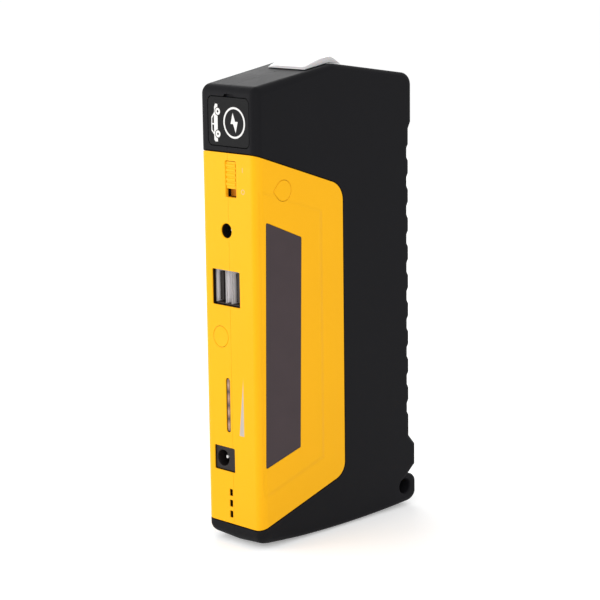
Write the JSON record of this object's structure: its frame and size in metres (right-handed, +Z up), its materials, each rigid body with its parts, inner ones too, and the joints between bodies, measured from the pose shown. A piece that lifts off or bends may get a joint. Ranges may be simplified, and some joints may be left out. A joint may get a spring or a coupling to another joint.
{
  "type": "jump starter pack",
  "caption": "Hand-held car jump starter pack that stands on its narrow end, with sockets, a switch and a push button on one side, a ribbed grip on the other and a torch on the roof.",
  "frame": {"origin": "middle of the outline at the flat foot it stands on", "axes": "+Z up along its height, +X from the socket side to the ribbed grip side, -Y towards the face with the rating plate"},
  "size_m": [0.0866, 0.0304, 0.1828],
  "materials": {
    "case_black": "matt",
    "panel_yellow": "satin",
    "plate_print": "satin",
    "rubber_black": "matt",
    "rubber_red": "satin",
    "steel": "bright",
    "contact_brass": "bright",
    "link_nickel": "satin",
    "board_green": "satin",
    "part_grey": "satin",
    "part_black": "satin",
    "part_white": "satin",
    "window_amber": "gloss",
    "lens_frosted": "frosted",
    "led_yellow": "gloss",
    "cell_foil": "satin",
    "foam_black": "matt",
    "socket_blue": "satin",
    "can_aluminium": "satin"
  },
  "bodies": {
    "case": {"front_shell": "case_black", "back_shell": "case_black", "front_panel": "panel_yellow", "back_panel": "panel_yellow", "screw_cap": "panel_yellow", "rating_plate": "plate_print", "lead_negative": "rubber_black", "lead_positive": "rubber_red", "torch_wire": "rubber_red", "usb_shell": "steel", "inlet_pin": "steel", "outlet_pin": "steel", "case_screw_1": "steel", "case_screw_2": "steel", "case_screw_3": "steel", "case_screw_4": "steel", "case_screw_5": "steel", "board_screw_1": "steel", "board_screw_2": "steel", "contact_positive": "contact_brass", "contact_negative": "contact_brass", "cell_link_1": "link_nickel", "cell_link_2": "link_nickel", "control_board": "board_green", "inlet_jack": "part_grey", "button_switch": "part_grey", "switch_body": "part_grey", "coil": "part_grey", "outlet_jack": "part_black", "sounder": "part_black", "usb_tongue_1": "part_white", "usb_tongue_2": "part_white", "level_light_1": "part_white", "level_light_2": "part_white", "level_light_3": "part_white", "level_light_4": "part_white", "relay": "part_white", "torch_board": "part_white", "light_window": "window_amber", "torch_lens": "lens_frosted", "torch_led_1": "led_yellow", "torch_led_2": "led_yellow", "torch_led_3": "led_yellow", "battery_cell_1": "cell_foil", "battery_cell_2": "cell_foil", "battery_cell_3": "cell_foil", "foam_pad_front": "foam_black", "foam_pad_back": "foam_black", "engine_socket": "socket_blue", "capacitor": "can_aluminium"},
    "button": {"power_button": "panel_yellow", "button_plunger": "part_black"},
    "switch": {"switch_knob": "panel_yellow"},
    "cover": {"socket_cover": "rubber_black"}
  },
  "joints": [
    {"name": "button_press", "type": "slide", "parent": "case", "child": "button", "axis": [1, 0, 0], "range_m": [0, 0.0007], "stiffness_N_per_m": 1500, "springref_m": -0.0003},
    {"name": "switch_slide", "type": "slide", "parent": "case", "child": "switch", "axis": [0, 0, -1], "range_m": [0, 0.0026]},
    {"name": "cover_hinge", "type": "hinge", "parent": "case", "child": "cover", "pos_m": [-0.04333, -0.0008, 0.15214], "axis": [0, -1, 0], "range_deg": [0, 150]}
  ]
}
